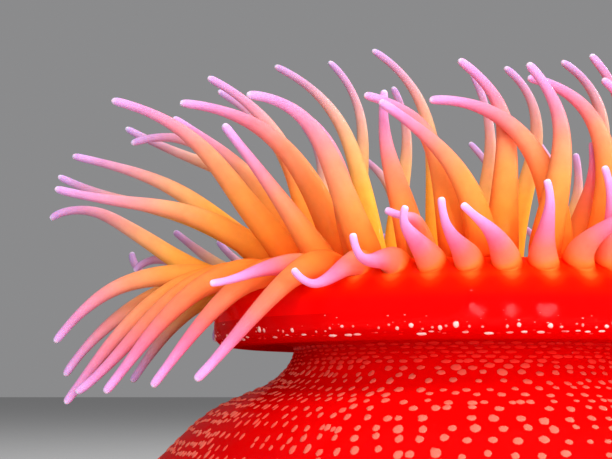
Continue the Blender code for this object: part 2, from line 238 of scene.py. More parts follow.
def at_share(curve, share):
    """The values at a share of a curve's samples."""
    return np.array([np.interp(share * FINE, np.arange(FINE + 1), column) for column in curve.T])


print("a centre line has", FINE + 1, "samples")

# %% Work out where the rings go
SHARES = (0.06, 0.15, 0.26, 0.38, 0.51, 0.64, 0.76, 0.87, 0.95, 1.0)   # ring places along the length
SQUARE_TO_ROUND = 0.66              # radius of the smoothed tube over that of its square ring
BEND_CUT = 6                        # smoothing takes one part in this many off a bend
AXIS_SPAN = 0.03                    # share of the length on each side that gives a ring its direction
TIP_CLOSE = 0.8                     # the last ring, which closes the tip, over the one before it
NECK = (0.87, 0.06, 0.10)           # place, width and depth of the neck behind the tip

places = [0.0, *SHARES]
for t in tentacles:
    curve = line_through(t["middles"], t["radii"][:-1] + [t["radii"][-2]])
    points = np.array([at_share(curve, s)[:3] for s in places])
    bend = np.zeros_like(points)
    bend[1:-1] = points[:-2] - 2 * points[1:-1] + points[2:]
    t["centres"] = [Vector(p) for p in points - bend / BEND_CUT]
    t["axes"] = [Vector(at_share(curve, min(s + AXIS_SPAN, 1))[:3]
                        - at_share(curve, max(s - AXIS_SPAN, 0))[:3]).normalized() for s in places]
    neck = [1 - NECK[2] * math.exp(-((s - NECK[0]) / NECK[1]) ** 2) for s in places]
    t["corners"] = [at_share(curve, s)[3] / SQUARE_TO_ROUND * n for s, n in zip(places, neck)]
    t["corners"][-1] = t["corners"][-2] * TIP_CLOSE
    t["length"] = np.linalg.norm(np.diff(curve[:, :3], axis=0), axis=1).sum()
print("rings:", len(SHARES), "on each tentacle; tips",
      round(2 * SQUARE_TO_ROUND * min(t["corners"][-2] for t in tentacles) / MM, 2), "mm across at least")

# %% [markdown]
# Each pull moves four corners. A ring is known by its middle, the axis that the tentacle follows there
# and the side that faces outwards. A corner keeps its own quarter from one ring to the next, so the
# tube doesn't twist.

# %% Set a ring of corners round a line
def set_ring(face, before, after, half_length, half_width):
    """Moves a face's corners from the frame before (middle, axis, side) to the frame after."""
    middle, axis, side = before
    across = axis.cross(side)
    new_middle, new_axis, new_side = after
    new_across = new_axis.cross(new_side)
    for vertex in face.verts:
        off = vertex.co - middle
        vertex.co = (new_middle + new_side * math.copysign(half_length, off.dot(side))
                     + new_across * math.copysign(half_width, off.dot(across)))


print("an inner tentacle's first ring:", round(2 * (INNER_HALF - INSET) / MM, 1), "mm square")

# %% [markdown]
# The pigment is not spread the same way in all of them, so the cage carries two numbers at its
# corners for it. "along" runs from -1 on the column through 0 at the margin to 1 at a tip, and it runs
# faster in a short, contracted tentacle, whose pink comes sooner. "golden" is 0 for a rosy tentacle
# and 1 for a golden one. Both follow from the tentacle's place and length alone.

# %% Give each corner of the body its share of colour
BLUSH = (38.0, 44.0)                # heights in mm between which the collar's red meets the orange

along = bm.verts.layers.float.new("along")
golden = bm.verts.layers.float.new("golden")
for vertex in bm.verts:
    vertex[along] = min(max((vertex.co.z / MM - BLUSH[1]) / (BLUSH[1] - BLUSH[0]), -1), 0)
print("blush:", *BLUSH, "mm up")

# %% [markdown]
# The skin is thicker than the solids at the margin, so an outer tentacle starts that much higher and
# comes down to its centre line further out. Its foot and first rings are longer than wide, which
# gives it a buttress on the rim. An inner one starts as a square a little smaller than its face.

# %% Shape the feet and choose each tentacle's tint
OUTER_HALF = (3.8 * MM, 2.7 * MM)   # half the length and half the width of an outer foot
INNER_FOOT = (INNER_HALF - INSET, INNER_HALF - INSET)
FLARE = {1: 1.17, 2: 1.08}          # how much longer than wide an outer tentacle's first rings are
START_REACH = 0.35                  # share of the length over which the raised start dies out
FAR = (-0.60, 0.50)                 # sines of the azimuth between which tentacles turn to gold
INNER_GOLD = 0.28                   # how golden an inner tentacle is in front, where an outer one is rosy
CONTRACTED = (20 * MM, 32 * MM)     # lengths of a short, contracted outer tentacle and of a long one
HURRY = (0.42, 0.85)                # power that the share of the length is raised to in each of those
INNER_HURRY = (0.97, 0.20, 0.09)    # the same for inner ones, how much less at the front left, variation
TINT_WAVES = 7                      # waves of that variation round the crown

for face in (f for f in bm.faces if f.select):
    t = tentacles[face[owner]]
    middle = face.calc_center_median()
    out = Vector((middle.x, middle.y, 0)).normalized()
    side = (out - face.normal * out.dot(face.normal)).normalized()
    outer = math.hypot(*middle.xy) > DISC_EDGE
    t["frame"] = (middle if outer else t["centres"][0], face.normal.copy(), side)
    t["golden"] = np.interp(out.y, FAR, (0 if outer else INNER_GOLD, 1))
    if outer:
        t["hurry"] = np.interp(t["length"], CONTRACTED, HURRY)
    else:
        front_left = 2 * max(-out.x, 0) * max(-out.y, 0)
        t["hurry"] = (INNER_HURRY[0] - INNER_HURRY[1] * front_left
                      + INNER_HURRY[2] * math.sin(TINT_WAVES * math.atan2(out.y, out.x) + middle.z / MM))
    t["flare"] = FLARE if outer else {}
    if outer:
        start = middle - t["centres"][0]
        t["centres"] = [c + start * max(1 - share / START_REACH, 0)
                        for c, share in zip(t["centres"], places)]
    set_ring(face, (middle, face.normal, side), t["frame"], *(OUTER_HALF if outer else INNER_FOOT))
bmesh.update_edit_mesh(skin.data)
print("golden tentacles:", sum(t["golden"] > 0.5 for t in tentacles))

# %% [markdown]
# Now all the feet are pulled out together, and each ring takes its place, its thickness and its two
# numbers for the pigment. The first of them starts slowly, so that the margin's red runs up into a
# tentacle before the orange begins.

# %% Pull the tentacles out of the skin
SLOW_START = 0.12                   # share of the length that stays close to the margin's colour

for step, share in enumerate(SHARES, 1):
    bpy.ops.mesh.extrude_region_move(TRANSFORM_OT_translate={"value": (0, 0, 0)})
    bm = bmesh.from_edit_mesh(skin.data)
    owner = bm.faces.layers.int["tentacle_number"]
    along, golden = bm.verts.layers.float["along"], bm.verts.layers.float["golden"]
    for face in (f for f in bm.faces if f.select):
        t = tentacles[face[owner]]
        axis, side = t["axes"][step], t["frame"][2]
        side = (side - axis * side.dot(axis)).normalized()
        after = (t["centres"][step], axis, side)
        half = t["corners"][step] / math.sqrt(2)
        set_ring(face, t["frame"], after, half * t["flare"].get(step, 1), half)
        t["frame"] = after
        for vertex in face.verts:
            vertex[along] = share ** t["hurry"] * min(share / SLOW_START, 1) ** 2
            vertex[golden] = t["golden"]
    bmesh.update_edit_mesh(skin.data)
bpy.ops.object.mode_set(mode="OBJECT")
print("cage with tentacles:", len(skin.data.polygons), "faces")

# %% [markdown]
# Two rounds of subdivision turn the cage into soft flesh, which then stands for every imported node.

# %% Smooth the cage
smoothing = skin.modifiers.new("smoothing", "SUBSURF")
smoothing.levels = smoothing.render_levels = 2
bpy.ops.object.modifier_apply(modifier="smoothing")
bpy.ops.object.shade_smooth()
triangles = sum(len(p.vertices) - 2 for p in skin.data.polygons)
print("skin:", triangles, "triangles")

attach(skin, "root")
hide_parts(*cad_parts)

# %% [markdown]
# ## Finishes
#
# All of it is living flesh: a firm jelly under a thin skin, wet with a film of mucus. Light sinks in
# about a millimetre and comes out redder. The film, a coat with the index of water, gives small sharp
# highlights, and the flesh under it has none of its own. The pigment alone changes, so one recipe
# makes every material here, and only its colour and relief are linked anew.

# %% Mix the wet flesh
FLESH = {
    "Roughness": 0.42, "IOR": 1.33, "Metallic": 0.0, "Specular IOR Level": 0.0,
    "Subsurface Weight": 0.35, "Subsurface Radius": (1.0, 0.32, 0.18), "Subsurface Scale": 1.0 * MM,
    "Coat Weight": 0.15, "Coat Roughness": 0.05, "Coat IOR": 1.33,
}


def linear(hex_colour):
    """Turns an sRGB hex colour to linear RGBA."""
    channels = [int(hex_colour[i:i + 2], 16) / 255 for i in (1, 3, 5)]
    return (*[c / 12.92 if c <= 0.04045 else ((c + 0.055) / 1.055) ** 2.4 for c in channels], 1)


def add(tree, kind, links=(), inputs=(), stops=(), **settings):
    """Adds a node, sets its properties, inputs and colour stops, and links outputs to its inputs."""
    node = tree.nodes.new(kind)
    for key, value in settings.items():
        setattr(node, key, value)
    for key, value in dict(inputs).items():
        node.inputs[key].default_value = value
    for key, output in dict(links).items():
        tree.links.new(output, node.inputs[key])
    for i, (place, colour) in enumerate(stops):
        element = node.color_ramp.elements[i] if i < 2 else node.color_ramp.elements.new(place)
        element.position, element.color = place, linear(colour)
    return node


def flesh(name):
    """A wet, translucent flesh: the shader, with its colour and relief still to be linked."""
    material = bpy.data.materials.new(name)
    material.use_nodes = True
    shader = material.node_tree.nodes["Principled BSDF"]
    for key, value in FLESH.items():
        shader.inputs[key].default_value = value
    return material, material.node_tree, shader


print("flesh: light sinks in", FLESH["Subsurface Scale"] / MM, "mm")

# %% [markdown]
# The skin's pigment follows the two numbers that the cage carries. "along" gives scarlet on the
# column, then orange at the feet, salmon and pink further out, and lilac white at the tip. "golden" is
# low for the rosy tentacles in front and 1 on the far side, where they are paler and turn from orange
# to yellow. A colour ramp for each end of it reads the first number, and the second mixes them. Ramps
# are the plain choice, because each stop is a colour that one can name.

# %% Colour the skin along its length
SCARLET = "#F50404"
ROSY_STOPS = ((0.0, SCARLET), (1.0, "#FCE0FF"), (0.12, SCARLET), (0.28, "#FF1201"), (0.42, "#FF2C04"),
              (0.52, "#FF5E1C"), (0.62, "#FF7C34"), (0.71, "#FF804E"), (0.80, "#FF7C6A"),
              (0.87, "#FC7A9C"), (0.94, "#F092CC"), (0.99, "#F0AEEE"))
GOLD_STOPS = ((0.0, SCARLET), (1.0, "#ECD6F4"), (0.12, SCARLET), (0.28, "#FF2C04"), (0.42, "#FF5C0E"),
              (0.52, "#FF8E20"), (0.62, "#FFAE34"), (0.71, "#FCBE4C"), (0.80, "#F2BC80"),
              (0.87, "#E2ACA0"), (0.94, "#CC98BA"), (0.99, "#CCA2DC"))

material, tree, shader = flesh("wet_anemone_flesh")
along = add(tree, "ShaderNodeAttribute", attribute_name="along")
golden = add(tree, "ShaderNodeAttribute", attribute_name="golden")
place = add(tree, "ShaderNodeTexCoord")
parts = add(tree, "ShaderNodeSeparateXYZ", {"Vector": place.outputs["Object"]})
azimuth = add(tree, "ShaderNodeMath", {0: parts.outputs["Y"], 1: parts.outputs["X"]}, operation="ARCTAN2")
print("rosy:", len(ROSY_STOPS), "stops, golden:", len(GOLD_STOPS))

# %% [markdown]
# The foot of each outer tentacle swells the rim a little and carries its orange down into the red.
# Forty-eight of them stand evenly round it, so a cosine of forty-eight times the azimuth is high
# below each one and low between two. It is let in only at the rim, by a window on "along".

# %% Let the feet swell the rim
FEET_WAVE = 0.09                    # how far the orange reaches down under a foot, on "along"
RIM_BELOW, RIM_ABOVE = (-0.7, -0.25), (0.0, 0.06)   # ends of the rim on "along", below and above

turns = add(tree, "ShaderNodeMath", {0: azimuth.outputs[0]}, {1: float(COLUMNS)}, operation="MULTIPLY")
feet = add(tree, "ShaderNodeMath", {0: turns.outputs[0]}, operation="COSINE")
rim_in = add(tree, "ShaderNodeMapRange", {"Value": along.outputs["Fac"]},
             {"From Min": RIM_BELOW[0], "From Max": RIM_BELOW[1]}, interpolation_type="SMOOTHSTEP")
rim_out = add(tree, "ShaderNodeMapRange", {"Value": along.outputs["Fac"]},
              {"From Min": RIM_ABOVE[0], "From Max": RIM_ABOVE[1], "To Min": 1.0, "To Max": 0.0},
              interpolation_type="SMOOTHSTEP")
rim = add(tree, "ShaderNodeMath", {0: rim_in.outputs[0], 1: rim_out.outputs[0]}, operation="MULTIPLY")
swell = add(tree, "ShaderNodeMath", {0: feet.outputs[0], 1: rim.outputs[0]}, operation="MULTIPLY")
shifted = add(tree, "ShaderNodeMath", {0: swell.outputs[0], 2: along.outputs["Fac"]},
              {1: 2 * FEET_WAVE}, operation="MULTIPLY_ADD")
factor = add(tree, "ShaderNodeMapRange", {"Value": shifted.outputs[0]}, {"From Min": -1.0, "From Max": 1.0})
rosy_colour = add(tree, "ShaderNodeValToRGB", {"Fac": factor.outputs[0]}, stops=ROSY_STOPS)
gold_colour = add(tree, "ShaderNodeValToRGB", {"Fac": factor.outputs[0]}, stops=GOLD_STOPS)
pigment = add(tree, "ShaderNodeMix", {
    "Factor": golden.outputs["Fac"], 6: rosy_colour.outputs[0], 7: gold_colour.outputs[0]}, data_type="RGBA")
print("feet round the rim:", COLUMNS)

# %% [markdown]
# Inside the crown the disc is coral. Pale lines run out from the mouth between the tentacles, where
# the walls that divide the body inside meet the disc. They are a sine of the azimuth, sharpened so
# that a line is narrower than the gap, and let in only within the disc's reach and above the column.

# %% Draw the disc's radial lines
DISC_LINES = 24
DISC_REACH, DISC_FADE = 34.0, 4.0   # radius of the disc that shows, in mm, and width of its soft edge
DISC_LOW = 40.0                     # height in mm that all of the disc lies above
FLAT_SKIN = 0.01                    # "along" below which the skin isn't yet a tentacle
LINE_FROM = 0.55                    # height of the sine wave above which a line shows
LINE_COLOUR = "#FF8644"
CORAL = "#F2401C"

flat_place = add(tree, "ShaderNodeVectorMath", {0: place.outputs["Object"]}, {1: (1, 1, 0)},
                 operation="MULTIPLY")
from_axis = add(tree, "ShaderNodeVectorMath", {0: flat_place.outputs[0]}, operation="LENGTH")
within = add(tree, "ShaderNodeMapRange", {"Value": from_axis.outputs["Value"]}, {
    "From Min": (DISC_REACH - DISC_FADE) * MM, "From Max": DISC_REACH * MM, "To Min": 1.0, "To Max": 0.0})
skyward = add(tree, "ShaderNodeMath", {0: parts.outputs["Z"]}, {1: DISC_LOW * MM}, operation="GREATER_THAN")
not_tube = add(tree, "ShaderNodeMath", {0: along.outputs["Fac"]}, {1: FLAT_SKIN}, operation="LESS_THAN")
disc = add(tree, "ShaderNodeMath", {0: within.outputs[0], 1: skyward.outputs[0]}, operation="MULTIPLY")
disc = add(tree, "ShaderNodeMath", {0: disc.outputs[0], 1: not_tube.outputs[0]}, operation="MULTIPLY")
line_turns = add(tree, "ShaderNodeMath", {0: azimuth.outputs[0]}, {1: float(DISC_LINES)}, operation="MULTIPLY")
line_wave = add(tree, "ShaderNodeMath", {0: line_turns.outputs[0]}, operation="SINE")
lines = add(tree, "ShaderNodeMapRange", {"Value": line_wave.outputs[0]},
            {"From Min": LINE_FROM, "From Max": 1.0}, interpolation_type="SMOOTHSTEP")
lined = add(tree, "ShaderNodeMix", {"Factor": lines.outputs[0]},
            {6: linear(CORAL), 7: linear(LINE_COLOUR)}, data_type="RGBA")
pigment = add(tree, "ShaderNodeMix", {
    "Factor": disc.outputs[0], 6: pigment.outputs[2], 7: lined.outputs[2]}, data_type="RGBA")
print("disc lines:", DISC_LINES, "within", DISC_REACH, "mm")

# %% [markdown]
# Nothing alive is one flat colour. Pigment grains gather in clouds two or three millimetres across,
# which darken the flesh slightly. A noise texture draws them, and mixes in the pigment multiplied by
# a dull plum.

# %% Cloud the pigment
CLOUD_MM = 2.6                      # size of a cloud of pigment
CLOUD_EDGES = (0.35, 0.70)          # heights of the noise between which a cloud comes in
CLOUD_DEPTH = 0.30                  # how much of the plum a cloud takes at most
PLUM = (0.78, 0.62, 0.66, 1)        # linear, because it multiplies

clouds = add(tree, "ShaderNodeTexNoise", {"Vector": place.outputs["Object"]},
             {"Scale": 1 / (CLOUD_MM * MM), "Detail": 3.0, "Roughness": 0.6})
cloud_share = add(tree, "ShaderNodeMapRange", {"Value": clouds.outputs["Fac"]},
                  {"From Min": CLOUD_EDGES[0], "From Max": CLOUD_EDGES[1], "To Min": 0.0,
                   "To Max": CLOUD_DEPTH})
darker = add(tree, "ShaderNodeMix", {6: pigment.outputs[2]}, {"Factor": 1.0, 7: PLUM},
             data_type="RGBA", blend_type="MULTIPLY")
clouded = add(tree, "ShaderNodeMix", {
    "Factor": cloud_share.outputs[0], 6: pigment.outputs[2], 7: darker.outputs[2]}, data_type="RGBA")
print("clouds:", CLOUD_MM, "mm")

# %% [markdown]
# Round the drawn-in waist, under the overhanging crown, and on the left flank, which the light reaches less,
# the scarlet is darkened to crimson: painted shade. A window on the height lets it in at the waist and one
# on the breadth at the flank, the stronger of the two counts, and neither reaches the collar.

# %% Paint shade on the waist and the left flank
# The crimson of the painted shade under the crown and on the left flank.
SHADE_CRIMSON = "#CC0002"
WAIST_SHADE_HEIGHTS = (27.0, 31.0, 34.6, 36.0)    # heights in mm: crimson comes in over the first two, out over the rest
LEFT_SHADE_SPAN = (-45.0, -12.0)               # mm from the middle between which the left flank's crimson dies out
WAIST_SHADE_DEPTH, LEFT_SHADE_DEPTH = 0.75, 0.9     # how much crimson each takes at most
COLUMN_ONLY = -0.95                 # "along" below which the skin is the column's

shade_in = add(tree, "ShaderNodeMapRange", {"Value": parts.outputs["Z"]},
               {"From Min": WAIST_SHADE_HEIGHTS[0] * MM, "From Max": WAIST_SHADE_HEIGHTS[1] * MM}, interpolation_type="SMOOTHSTEP")
shade_out = add(tree, "ShaderNodeMapRange", {"Value": parts.outputs["Z"]},
                {"From Min": WAIST_SHADE_HEIGHTS[2] * MM, "From Max": WAIST_SHADE_HEIGHTS[3] * MM, "To Min": WAIST_SHADE_DEPTH,
                 "To Max": 0.0}, interpolation_type="SMOOTHSTEP")
on_column = add(tree, "ShaderNodeMath", {0: along.outputs["Fac"]}, {1: COLUMN_ONLY},
                operation="LESS_THAN")
painted_shade = add(tree, "ShaderNodeMath", {0: shade_in.outputs[0], 1: shade_out.outputs[0]}, operation="MULTIPLY")
left = add(tree, "ShaderNodeMapRange", {"Value": parts.outputs["X"]}, {
    "From Min": LEFT_SHADE_SPAN[0] * MM, "From Max": LEFT_SHADE_SPAN[1] * MM, "To Min": LEFT_SHADE_DEPTH, "To Max": 0.0},
    interpolation_type="SMOOTHSTEP")
painted_shade = add(tree, "ShaderNodeMath", {0: painted_shade.outputs[0], 1: left.outputs[0]}, operation="MAXIMUM")
painted_shade = add(tree, "ShaderNodeMath", {0: painted_shade.outputs[0], 1: on_column.outputs[0]}, operation="MULTIPLY")
# Painted shade: the pigment is mixed towards crimson where the mask lets it in.
colour = add(tree, "ShaderNodeMix", {"Factor": painted_shade.outputs[0], 6: clouded.outputs[2]},
             {7: linear(SHADE_CRIMSON)}, data_type="RGBA")
tree.links.new(colour.outputs[2], shader.inputs["Base Color"])
print("crimson between", WAIST_SHADE_HEIGHTS[0], "and", WAIST_SHADE_HEIGHTS[3], "mm up")

# %% [markdown]
# Relief too fine for the cage is a bump map, whose height is in metres because its distance is one
# metre. It adds up three things: the swelling under each foot, the pleats that the spreading foot of
# the column lies in, and the fine unevenness of wet skin, which breaks a highlight into glints.

# %% Raise the fine relief
SWELL_MM, PLEAT_MM, SKIN_MM = 0.28, 0.45, 0.02      # half height of each kind of relief
PLEATS = 104                        # round the whole animal
PLEAT_TOP = (5.0, 15.0)             # heights in mm over which the pleats die out
GRAIN_MM = 0.9                      # size of the fine unevenness

pleat_turns = add(tree, "ShaderNodeMath", {0: azimuth.outputs[0]}, {1: float(PLEATS)}, operation="MULTIPLY")
pleat_wave = add(tree, "ShaderNodeMath", {0: pleat_turns.outputs[0]}, operation="SINE")
low_down = add(tree, "ShaderNodeMapRange", {"Value": parts.outputs["Z"]}, {
    "From Min": PLEAT_TOP[0] * MM, "From Max": PLEAT_TOP[1] * MM, "To Min": PLEAT_MM * MM, "To Max": 0.0},
    interpolation_type="SMOOTHSTEP")
pleats = add(tree, "ShaderNodeMath", {0: pleat_wave.outputs[0], 1: low_down.outputs[0]}, operation="MULTIPLY")
grain = add(tree, "ShaderNodeTexNoise", {"Vector": place.outputs["Object"]},
            {"Scale": 1 / (GRAIN_MM * MM), "Detail": 2.0, "Roughness": 0.5})
height = add(tree, "ShaderNodeMath", {0: swell.outputs[0], 2: pleats.outputs[0]}, {1: SWELL_MM * MM},
             operation="MULTIPLY_ADD")
height = add(tree, "ShaderNodeMath", {0: grain.outputs["Fac"], 2: height.outputs[0]}, {1: 2 * SKIN_MM * MM},
             operation="MULTIPLY_ADD")
relief = add(tree, "ShaderNodeBump", {"Height": height.outputs[0]}, {"Strength": 1.0, "Distance": 1.0})
tree.links.new(relief.outputs["Normal"], shader.inputs["Normal"])
tree.links.new(relief.outputs["Normal"], shader.inputs["Coat Normal"])
print("pleats:", PLEATS, "of", round(2 * math.pi * BODY_RINGS[3][0] / PLEATS, 1), "mm")

# %% [markdown]
# The wet film drains off the skin that faces down, so the underside of the collar doesn't shine. The
# upward slope of the skin, which the surface's own normal gives, thins the coat there.

# %% Let the film drain from below
FILM = (-0.7, -0.2)                 # upward slopes of the skin between which the film comes in

surface_facts = add(tree, "ShaderNodeNewGeometry")
slopes = add(tree, "ShaderNodeSeparateXYZ", {"Vector": surface_facts.outputs["Normal"]})
film = add(tree, "ShaderNodeMapRange", {"Value": slopes.outputs["Z"]}, {
    "From Min": FILM[0], "From Max": FILM[1], "To Min": 0.0, "To Max": FLESH["Coat Weight"]})
tree.links.new(film.outputs[0], shader.inputs["Coat Weight"])
skin.data.materials.append(material)
print("film:", len(material.node_tree.nodes), "nodes in the skin's material")

# %% [markdown]
# ## Warts
#
# The pale spots on the column are warts, low sticky domes in rows round the body. They are real
# relief, so each is a small mesh: one is modelled from a circle, with few faces, because some three
# thousand copies of it are laid on the skin.

# %% Model one wart
WART_SIDES = 10
WART_RINGS = ((1.0, -0.12), (0.84, 0.15), (0.46, 0.27))     # radius and height, in wart radii

bpy.ops.object.select_all(action="DESELECT")
bpy.ops.mesh.primitive_circle_add(
    vertices=WART_SIDES, radius=WART_RINGS[0][0], fill_type="NGON", location=(0, 0, WART_RINGS[0][1]))
wart = bpy.context.object
bpy.ops.object.transform_apply(location=True)
bpy.ops.object.mode_set(mode="EDIT")
bpy.ops.mesh.select_all(action="SELECT")
for (radius, height), (next_radius, next_height) in zip(WART_RINGS, WART_RINGS[1:]):
    bpy.ops.mesh.extrude_region_move(TRANSFORM_OT_translate={"value": (0, 0, next_height - height)})
    bpy.ops.transform.resize(value=(next_radius / radius, next_radius / radius, 1))
bpy.ops.mesh.select_all(action="SELECT")
bpy.ops.mesh.normals_make_consistent(inside=False)
bpy.ops.object.mode_set(mode="OBJECT")
wart_points = np.array([tuple(v.co) for v in wart.data.vertices])
wart_faces = [tuple(p.vertices) for p in wart.data.polygons]
wart_pale = np.where(wart_points[:, 2] > 0, 1.0, 0.0)
bpy.data.objects.remove(wart, do_unlink=True)
print("one wart:", len(wart_faces), "faces")

# %% [markdown]
# A copy goes to the point of the skin nearest to a rough place, turned to stand on it. Its corners
# are pushed about a little, because no two warts are alike. All copies of a kind make one mesh, and
# each corner keeps how pale it is, so that one material serves them all.

# %% Lay copies of it on the skin
UNEVEN = 0.10                       # how far a wart's corners stray, as a share of its size
SEED = 11

surface = BVHTree.FromObject(skin, bpy.context.evaluated_depsgraph_get())
rng = np.random.default_rng(SEED)


def lay_warts(name, places):
    """One mesh of warts at (point, half width, half height, rise, paleness) places on the skin."""
    points, faces, pale = [], [], []
    for guess, half_width, half_height, rise, paleness in places:
        foot, normal, _, _ = surface.find_nearest(guess)
        right = Vector((0, 0, 1)).cross(normal).normalized()
        up = normal.cross(right)
        stray = UNEVEN * rng.standard_normal((len(wart_points), 1))
        shape = wart_points * (1 + stray * (wart_points[:, 2:] > 0))
        wart_axes = np.array([right * half_width, up * half_height, normal * rise])
        faces += [tuple(len(points) + i for i in face) for face in wart_faces]
        points += list(shape @ wart_axes + np.array(foot))
        pale += list(wart_pale * paleness)
    mesh = bpy.data.meshes.new(name)
    mesh.from_pydata([tuple(p) for p in points], [], faces)
    mesh.attributes.new("pale", "FLOAT", "POINT").data.foreach_set("value", np.array(pale, dtype=np.float32))
    mesh.shade_smooth()
    piece = bpy.data.objects.new(name, mesh)
    bpy.context.collection.objects.link(piece)
    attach(piece, "root")
    print(name, len(places), "warts,", sum(len(f) - 2 for f in faces), "triangles")
    return piece


print("laying warts on", len(skin.data.polygons), "faces of skin")

# %% [markdown]
# Under the collar, where the column is drawn in, the warts lie close and flat. Lower down they open
# out, stand round and pale, and a few touch in short chains. The flank isn't the same all round: on the
# left, where it is stretched, they are narrow and upright, at its outermost edge they run together,
# and on the right they are smaller and closer. So a wart's measures depend on how far down it is and on
# which side. Each of these is a number that goes from 0 to 1 by a smooth step.

# %% Measure the flank
FLANK = np.array(BODY_RINGS[12:2:-1])       # radius and height in mm, from the waist to the rim
SPREAD = (2.0, 9.0)                 # mm below the waist over which the warts open out
LEFT_FROM = (0.25, 0.80)            # how far left the left side begins and is full, as a share of the radius
EDGE_FROM = (0.80, 0.95)            # the same for its outermost edge
RIGHT_FROM = (0.02, 0.35)           # and for the right side, to the right

flank_down = np.concatenate(([0], np.cumsum(np.linalg.norm(np.diff(FLANK, axis=0), axis=1))))


def eased(value, low, high):
    """0 below low, 1 above high, a smooth step between."""
    t = min(max((value - low) / (high - low), 0), 1)
    return t * t * (3 - 2 * t)


def on_flank(down):
    """Radius and height in mm at a way down the flank."""
    return [np.interp(down, flank_down, FLANK[:, k]) for k in (0, 1)]


def place_at(radius, azimuth, height):
    """A point in metres, from an azimuth and a radius and height in mm."""
    return Vector((radius * math.cos(azimuth), radius * math.sin(azimuth), height)) * MM


print("flank:", round(flank_down[-1], 1), "mm from waist to rim")

# %% Settle a wart's measures
HALF, HALF_LESS = 0.94, 0.16        # half width in mm at the waist, and how much less lower down
NARROW_LEFT, NARROW_RIGHT, WIDE_EDGE = 0.45, 0.22, 0.35     # how much each side changes that
SQUAT, ROUNDER = 0.34, 0.70         # height over width at the waist, and how much more lower down
TALL_LEFT, LOW_EDGE = 0.9, 1.2      # what the left side adds to that and its edge takes away
RISE = 0.75                         # how far a wart stands out at most, over its half width
PALE, PALER = 0.40, 0.60            # paleness at the waist, and how much more lower down
# On the left the warts are dulled as painted shade.
LEFT_PAINTED_SHADE, DULL_RIGHT = 0.30, 0.15  # how much each side takes from it
SIZES, HEIGHTS, TINTS = (0.78, 1.18), (0.85, 1.15), (0.85, 1.0)     # how far single warts differ
print("warts:", round(2 * (HALF - HALF_LESS), 1), "to", round(2 * HALF, 1), "mm across")

# %% [markdown]
# A row goes once round the body, wart by wart, and wavers a little. Where it comes round again to its
# first wart there is a gap of odd width, which would show as a bare line down the flank, so the row
# is closed with plain copies of its first wart.

# %% Set the column's warts out in rows
FIRST_ROW, LAST_ROW = 0.6, 1.0      # mm from the waist and from the rim
ROW_STEP, ROW_OPENS = 0.8, 1.75     # mm between rows at the waist, and how much more lower down
ROW_START, ROW_END = 3, 1.5         # mm past the right within which a row starts, and before it where it ends
SPACINGS, OPENS, OPENINGS = (1.9, 2.4), 1.6, (0.75, 1.25)   # mm between warts, more lower down, its range
CLOSE_LEFT, CLOSE_RIGHT = 0.44, 0.45    # how much closer they are on each side
CLOSE_GAP, CLOSE_STEP = 1.6, 2.1    # least gap in mm that is closed, and the spacing there
MISSING, CHAINED = 0.07, 0.10       # share of warts left out, and of those that start a chain
SAG, SAG_WAVES = 0.35, 5            # mm that a row wavers, and waves round the body
STRAY, STRAY_MORE = 0.08, 0.22      # mm that single warts stray from it, and how much more lower down

column_places = []
down = FIRST_ROW
while down < flank_down[-1] - LAST_ROW:
    opened = eased(down, *SPREAD)
    radius, height = on_flank(down)
    start, chain, row = rng.uniform(0, ROW_START), 0, len(column_places)
    way, around = start, 2 * math.pi * radius
    while way < around - ROW_END:
        half = (HALF - HALF_LESS * opened) * rng.uniform(*SIZES)
        azimuth = way / radius
        left = eased(-math.cos(azimuth), *LEFT_FROM) * opened
        right = eased(math.cos(azimuth), *RIGHT_FROM) * opened
        edge = eased(-math.cos(azimuth), *EDGE_FROM) * opened
        half *= 1 - NARROW_LEFT * left - NARROW_RIGHT * right + WIDE_EDGE * edge
        sag = SAG * opened * math.sin(SAG_WAVES * azimuth + down)
        sag += rng.normal(0, STRAY + STRAY_MORE * opened)
        if rng.random() > MISSING:
            wart_radius, wart_height = on_flank(down + sag)
            upright = SQUAT + ROUNDER * opened + TALL_LEFT * left - LOW_EDGE * edge
            half_height = half * upright * rng.uniform(*HEIGHTS)
            rise = RISE * half * (0.5 + 0.5 * opened)
            # The dulling on the left is painted shade. At the outermost edge it is lifted, which leaves a
            # paler band as a painted rim of light.
            paleness = (PALE + PALER * opened) * (1 - LEFT_PAINTED_SHADE * (left - edge) - DULL_RIGHT * right)
            column_places.append((
                place_at(wart_radius, azimuth, wart_height), half * MM, half_height * MM, rise * MM,
                paleness * rng.uniform(*TINTS)))
        chain = chain - 1 if chain else (rng.integers(1, 4) if rng.random() < CHAINED else 0)
        wide = rng.uniform(*SPACINGS) + OPENS * opened * rng.uniform(*OPENINGS)
        touching = chain or edge > 0.5
        way += 2.0 * half if touching else wide * (1 - CLOSE_LEFT * left - CLOSE_RIGHT * right)
    while way < around + start - CLOSE_GAP:
        column_places.append((place_at(radius, way / radius, height), *column_places[row][1:]))
        way += CLOSE_STEP
    down += ROW_STEP + ROW_OPENS * opened
column_warts = lay_warts("column_warts", column_places)

# %% [markdown]
# The collar carries small tubercles of the same make, in loose rows along its lower edge. The lowest
# are broad and dull. Those above are tiny and pale, and a few are painted near white: partly their own pale
# tops, partly painted highlights of the wet collar.

# %% Set out the collar's tubercles
COLLAR_REACH = 48.0                 # radius of the collar, in mm
DULL = 0.4                          # least paleness under which a row is dull, with low, flat tubercles
FLAT_HEIGHTS, ROUND_HEIGHTS = (0.35, 0.5), (0.7, 1.3)       # height over width of each kind
FLAT_RISE, ROUND_RISE = 0.8, 1.8    # how far each kind stands out, over its half width
